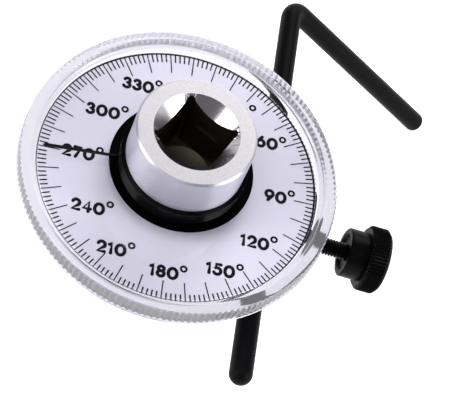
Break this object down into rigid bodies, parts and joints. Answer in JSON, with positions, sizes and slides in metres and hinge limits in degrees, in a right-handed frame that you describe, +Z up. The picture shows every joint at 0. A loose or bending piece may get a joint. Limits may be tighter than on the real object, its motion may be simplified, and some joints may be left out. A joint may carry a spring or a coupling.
{
  "type": "torque angle gauge",
  "caption": "Torque angle gauge: square-drive spindle with a pointer over a turning 360 degree dial, held by a bent arm rod in a clamp with a thumb screw.",
  "frame": {"origin": "on the drive axis, in the plane of the shoulder where the driven socket's face meets the spindle", "axes": "+Z up the drive axis from the male square to the female square; +X square to a flat of both drive squares"},
  "size_m": [0.0824, 0.1209, 0.0679],
  "materials": {
    "chromed_steel": "satin chrome plate",
    "ball_steel": "polished steel ball",
    "spring_steel": "oiled spring steel",
    "black_ring": "gloss black, grooved",
    "black_needle": "black enamel",
    "washer_steel": "zinc plated",
    "black_bush": "gloss black moulding",
    "black_holder": "matt black moulding",
    "friction_nylon": "natural nylon",
    "insert_brass": "turned brass",
    "clear_cover": "clear moulded plastic",
    "white_dial": "printed white sheet",
    "black_rod": "matt black oxide",
    "black_stud": "black oxide thread",
    "black_knob": "knurled black"
  },
  "bodies": {
    "spindle": {"drive_spindle": "chromed_steel", "detent_spring": "spring_steel", "pointer_ring": "black_ring", "pointer_needle": "black_needle", "thrust_washer": "washer_steel", "retaining_circlip": "spring_steel"},
    "detent": {"detent_ball": "ball_steel"},
    "holder": {"centre_bush": "black_bush", "arm_holder": "black_holder", "friction_washer": "friction_nylon", "threaded_insert": "insert_brass"},
    "dial": {"dial_cover": "clear_cover", "dial_plate": "white_dial"},
    "arm": {"arm_rod": "black_rod"},
    "thumb_screw": {"thumb_screw_stud": "black_stud", "thumb_knob": "black_knob"}
  },
  "joints": [
    {"name": "holder_swivel", "type": "hinge", "parent": "spindle", "child": "holder", "pos_m": [0, 0, 0.01], "axis": [0, 0, 1], "continuous": true},
    {"name": "dial_zero", "type": "hinge", "parent": "holder", "child": "dial", "pos_m": [0, 0, 0.016], "axis": [0, 0, 1], "continuous": true},
    {"name": "arm_slide", "type": "slide", "parent": "holder", "child": "arm", "axis": [-0.4924, 0.8704, 0], "range_m": [-0.044, 0.028]},
    {"name": "thumb_screw_turn", "type": "hinge", "parent": "holder", "child": "thumb_screw", "pos_m": [0.0279, 0.01578, 0.00174], "axis": [0.8663, 0.4902, -0.0958], "range_deg": [-720, 0]},
    {"name": "detent_slide", "type": "slide", "parent": "spindle", "child": "detent", "axis": [-1, 0, 0], "range_m": [0, 0.00085], "stiffness_N_per_m": 4000, "springref_m": -0.0015, "deforming": ["detent_spring"]}
  ]
}
